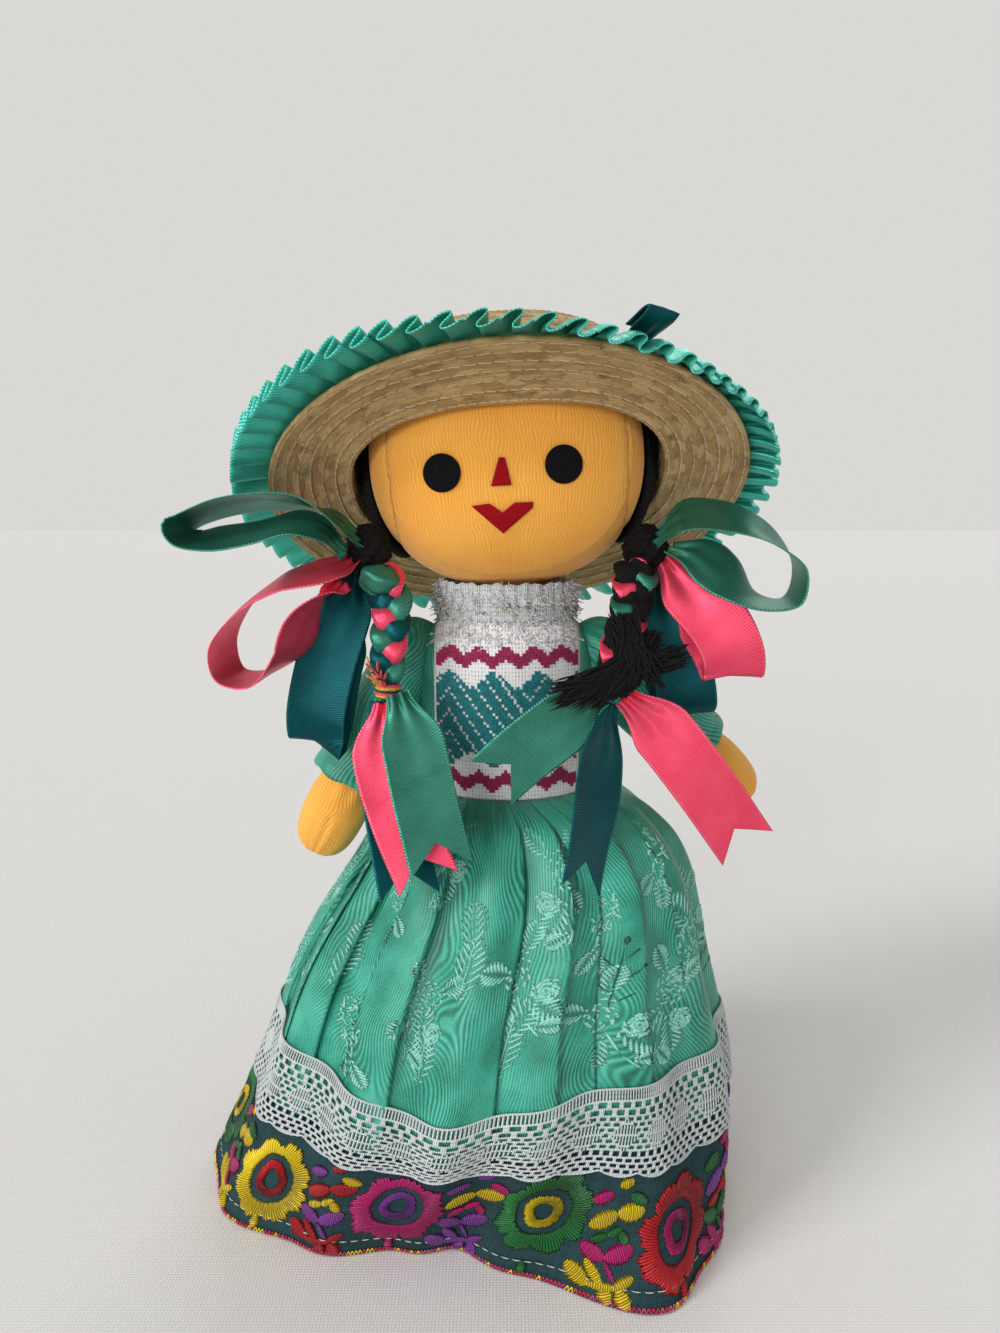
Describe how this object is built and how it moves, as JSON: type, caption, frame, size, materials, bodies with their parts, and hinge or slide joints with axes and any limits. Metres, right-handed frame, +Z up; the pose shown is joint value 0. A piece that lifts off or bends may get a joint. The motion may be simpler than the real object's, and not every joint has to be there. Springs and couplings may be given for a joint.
{
  "type": "rag doll",
  "caption": "Stuffed cloth doll in a tilted straw hat with a pleated ribbon edge, ribboned braids, embroidered bodice and full gathered skirt. Head, arms, legs and braids move.",
  "frame": {"origin": "on the floor under the middle of the whole doll", "axes": "+Z up, the doll faces -Y, its own right hand is at -X"},
  "size_m": [0.204, 0.159, 0.3088],
  "materials": {
    "ochre_cotton": "plain-woven cotton, matt",
    "black_yarn": "matt yarn",
    "black_felt": "matt felt",
    "red_felt": "matt felt",
    "straw_braid": "sewn straw braid, dull",
    "ruffle_satin": "pleated satin",
    "mint_satin": "satin",
    "coral_satin": "satin",
    "teal_satin": "satin",
    "silver_lace": "cotton lace with silver thread",
    "white_evenweave": "even-weave cotton, cross-stitched",
    "mint_brocade": "figured satin",
    "slate_band": "embroidered ribbon",
    "gold_thread": "thread"
  },
  "bodies": {
    "dressed_torso": {"torso": "ochre_cotton", "embroidered_panel": "white_evenweave", "blouse": "mint_satin", "collar": "silver_lace", "skirt": "mint_brocade", "hem_band": "slate_band", "lace_trim": "silver_lace"},
    "dressed_head": {"head": "ochre_cotton", "right_eye": "black_felt", "left_eye": "black_felt", "nose": "red_felt", "mouth": "red_felt", "hair": "black_yarn", "right_hair_knot": "black_yarn", "left_hair_knot": "black_yarn", "straw_hat": "straw_braid", "hat_ruffle": "ruffle_satin", "hat_loop": "teal_satin", "right_mint_loop": "mint_satin", "right_coral_loop": "coral_satin", "right_teal_loop": "teal_satin", "left_mint_loop": "mint_satin", "left_coral_loop": "coral_satin", "left_teal_loop": "teal_satin"},
    "right_arm": {"right_arm": "ochre_cotton", "right_sleeve": "mint_satin"},
    "left_arm": {"left_arm": "ochre_cotton", "left_sleeve": "mint_satin"},
    "right_leg": {"right_leg": "ochre_cotton"},
    "left_leg": {"left_leg": "ochre_cotton"},
    "right_braid": {"right_braid": "coral_satin", "right_braid_tie": "gold_thread", "right_mint_tail": "mint_satin", "right_coral_tail": "coral_satin", "right_teal_tail": "teal_satin"},
    "left_braid": {"left_braid": "black_yarn", "left_braid_tie": "black_yarn", "left_braid_tassel": "black_yarn", "left_mint_tail": "mint_satin", "left_teal_tail": "teal_satin", "left_coral_tail": "coral_satin"}
  },
  "joints": [
    {"name": "head_tilt", "type": "hinge", "parent": "dressed_torso", "child": "dressed_head", "pos_m": [0.00926, 0.00413, 0.214], "axis": [0, 1, 0], "range_deg": [-8, 8], "stiffness_Nm_per_rad": 0.5},
    {"name": "right_shoulder", "type": "hinge", "parent": "dressed_torso", "child": "right_arm", "pos_m": [-0.02374, 0.00513, 0.194], "axis": [0, 1, 0], "range_deg": [0, 60]},
    {"name": "left_shoulder", "type": "hinge", "parent": "dressed_torso", "child": "left_arm", "pos_m": [0.04226, 0.00513, 0.194], "axis": [0, -1, 0], "range_deg": [0, 60]},
    {"name": "right_hip", "type": "hinge", "parent": "dressed_torso", "child": "right_leg", "pos_m": [-0.00624, 0.00413, 0.096], "axis": [-1, 0, 0], "range_deg": [-12, 12]},
    {"name": "left_hip", "type": "hinge", "parent": "dressed_torso", "child": "left_leg", "pos_m": [0.02476, 0.00413, 0.096], "axis": [-1, 0, 0], "range_deg": [-12, 12]},
    {"name": "right_braid_swing", "type": "hinge", "parent": "dressed_head", "child": "right_braid", "pos_m": [-0.03314, -0.01699, 0.2225], "axis": [-1, 0, 0], "range_deg": [0, 60]},
    {"name": "left_braid_swing", "type": "hinge", "parent": "dressed_head", "child": "left_braid", "pos_m": [0.05166, -0.01699, 0.2225], "axis": [-1, 0, 0], "range_deg": [0, 60]}
  ]
}
